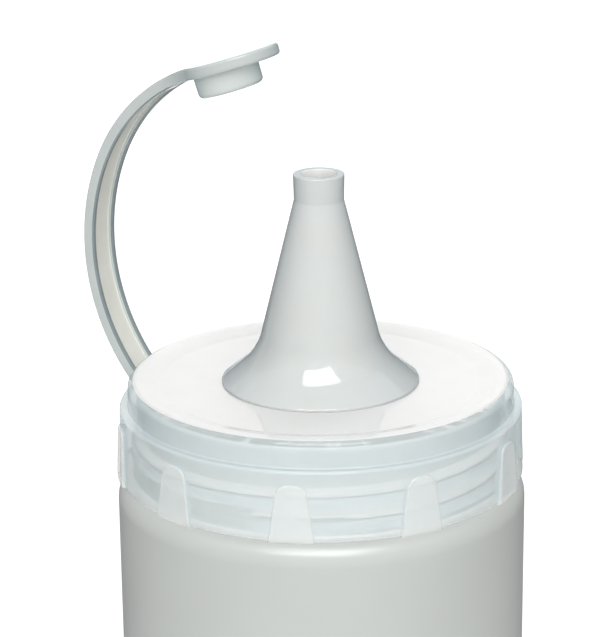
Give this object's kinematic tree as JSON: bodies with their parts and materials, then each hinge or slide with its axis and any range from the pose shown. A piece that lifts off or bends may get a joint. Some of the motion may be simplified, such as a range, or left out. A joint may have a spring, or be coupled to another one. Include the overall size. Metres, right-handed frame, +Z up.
{
  "type": "squeeze sauce bottle",
  "caption": "Squeeze sauce bottle with a threaded screw cap, a hollow cone spout and a tip cap on a flexible strap.",
  "frame": {"origin": "centre of the ring that the bottle stands on, on the bottle's axis", "axes": "+Z up along the bottle's axis to the spout's tip, -X towards the side that the strap leaves from"},
  "size_m": [0.0791, 0.07, 0.2609],
  "materials": {
    "bottle_plastic": "blown low-density polyethylene, milky, lets light through, satin",
    "cap_plastic": "moulded natural polypropylene, milky, lets light through, polished disc",
    "spout_plastic": "moulded natural polypropylene, milky, lets light through, smooth",
    "strap_plastic": "moulded natural polypropylene, milky, thin enough to bend",
    "seal_foam": "pressed polyethylene foam"
  },
  "bodies": {
    "bottle": {"bottle": "bottle_plastic"},
    "seal_ring": {"seal_ring": "seal_foam"},
    "screw_cap": {"screw_cap": "cap_plastic", "spout": "spout_plastic"},
    "strap_segment_1": {"strap_segment_1": "strap_plastic"},
    "strap_segment_2": {"strap_segment_2": "strap_plastic"},
    "strap_segment_3": {"strap_segment_3": "strap_plastic"},
    "strap_segment_4": {"strap_segment_4": "strap_plastic"},
    "strap_segment_5": {"strap_segment_5": "strap_plastic"},
    "strap_segment_6": {"strap_segment_6": "strap_plastic"},
    "strap_segment_7": {"strap_segment_7": "strap_plastic"},
    "strap_segment_8": {"strap_segment_8": "strap_plastic"},
    "strap_segment_9": {"strap_segment_9": "strap_plastic"},
    "tip_cap": {"tip_cap": "strap_plastic"}
  },
  "joints": [
    {"name": "cap_lift", "type": "slide", "parent": "bottle", "child": "seal_ring", "axis": [0, 0, 1], "range_m": [0, 0.006]},
    {"name": "cap_turn", "type": "hinge", "parent": "seal_ring", "child": "screw_cap", "pos_m": [0, 0, 0.188], "axis": [0, 0, 1], "range_deg": [0, 540.01]},
    {"name": "strap_swing", "type": "hinge", "parent": "screw_cap", "child": "strap_segment_1", "pos_m": [-0.03481, 0, 0.20204], "axis": [0, 1, 0], "range_deg": [0, 8.47], "stiffness_Nm_per_rad": 0.2},
    {"name": "tip_press", "type": "hinge", "parent": "strap_segment_1", "child": "strap_segment_2", "pos_m": [-0.04005, 0, 0.20689], "axis": [0, 1, 0], "range_deg": [-7.06, 0], "stiffness_Nm_per_rad": 0.2},
    {"name": "strap_bend_3", "type": "hinge", "parent": "strap_segment_2", "child": "strap_segment_3", "pos_m": [-0.0406, 0, 0.21401], "axis": [0, 1, 0], "range_deg": [0, 10.79]},
    {"name": "strap_bend_4", "type": "hinge", "parent": "strap_segment_3", "child": "strap_segment_4", "pos_m": [-0.0418, 0, 0.22057], "axis": [0, 1, 0], "range_deg": [0, 6.23]},
    {"name": "strap_bend_5", "type": "hinge", "parent": "strap_segment_4", "child": "strap_segment_5", "pos_m": [-0.04181, 0, 0.22724], "axis": [0, 1, 0], "range_deg": [0, 8.06]},
    {"name": "strap_bend_6", "type": "hinge", "parent": "strap_segment_5", "child": "strap_segment_6", "pos_m": [-0.04063, 0, 0.23381], "axis": [0, 1, 0], "range_deg": [0, 9.72]},
    {"name": "strap_bend_7", "type": "hinge", "parent": "strap_segment_6", "child": "strap_segment_7", "pos_m": [-0.03829, 0, 0.24005], "axis": [0, 1, 0], "range_deg": [0, 1.34]},
    {"name": "strap_bend_8", "type": "hinge", "parent": "strap_segment_7", "child": "strap_segment_8", "pos_m": [-0.0347, 0, 0.24562], "axis": [0, 1, 0], "range_deg": [0, 2.4]},
    {"name": "strap_bend_9", "type": "hinge", "parent": "strap_segment_8", "child": "strap_segment_9", "pos_m": [-0.0312, 0, 0.25182], "axis": [0, 1, 0], "range_deg": [-11.14, 0]},
    {"name": "strap_bend_10", "type": "hinge", "parent": "strap_segment_9", "child": "tip_cap", "pos_m": [-0.02516, 0, 0.25551], "axis": [0, 1, 0], "range_deg": [-11.26, 0]}
  ],
  "couplings": [
    {"joint": "cap_turn", "follows": "cap_lift", "rad_per_m": 1570.8},
    {"joint": "strap_bend_3", "follows": "strap_swing", "ratio": 1.272},
    {"joint": "strap_bend_4", "follows": "tip_press", "ratio": -0.88109},
    {"joint": "strap_bend_5", "follows": "strap_swing", "ratio": 0.9507},
    {"joint": "strap_bend_6", "follows": "tip_press", "ratio": -1.3741},
    {"joint": "strap_bend_7", "follows": "strap_swing", "ratio": 0.1568},
    {"joint": "strap_bend_8", "follows": "tip_press", "ratio": -0.33792},
    {"joint": "strap_bend_9", "follows": "strap_swing", "ratio": -1.314},
    {"joint": "strap_bend_10", "follows": "tip_press", "ratio": 1.5931}
  ]
}
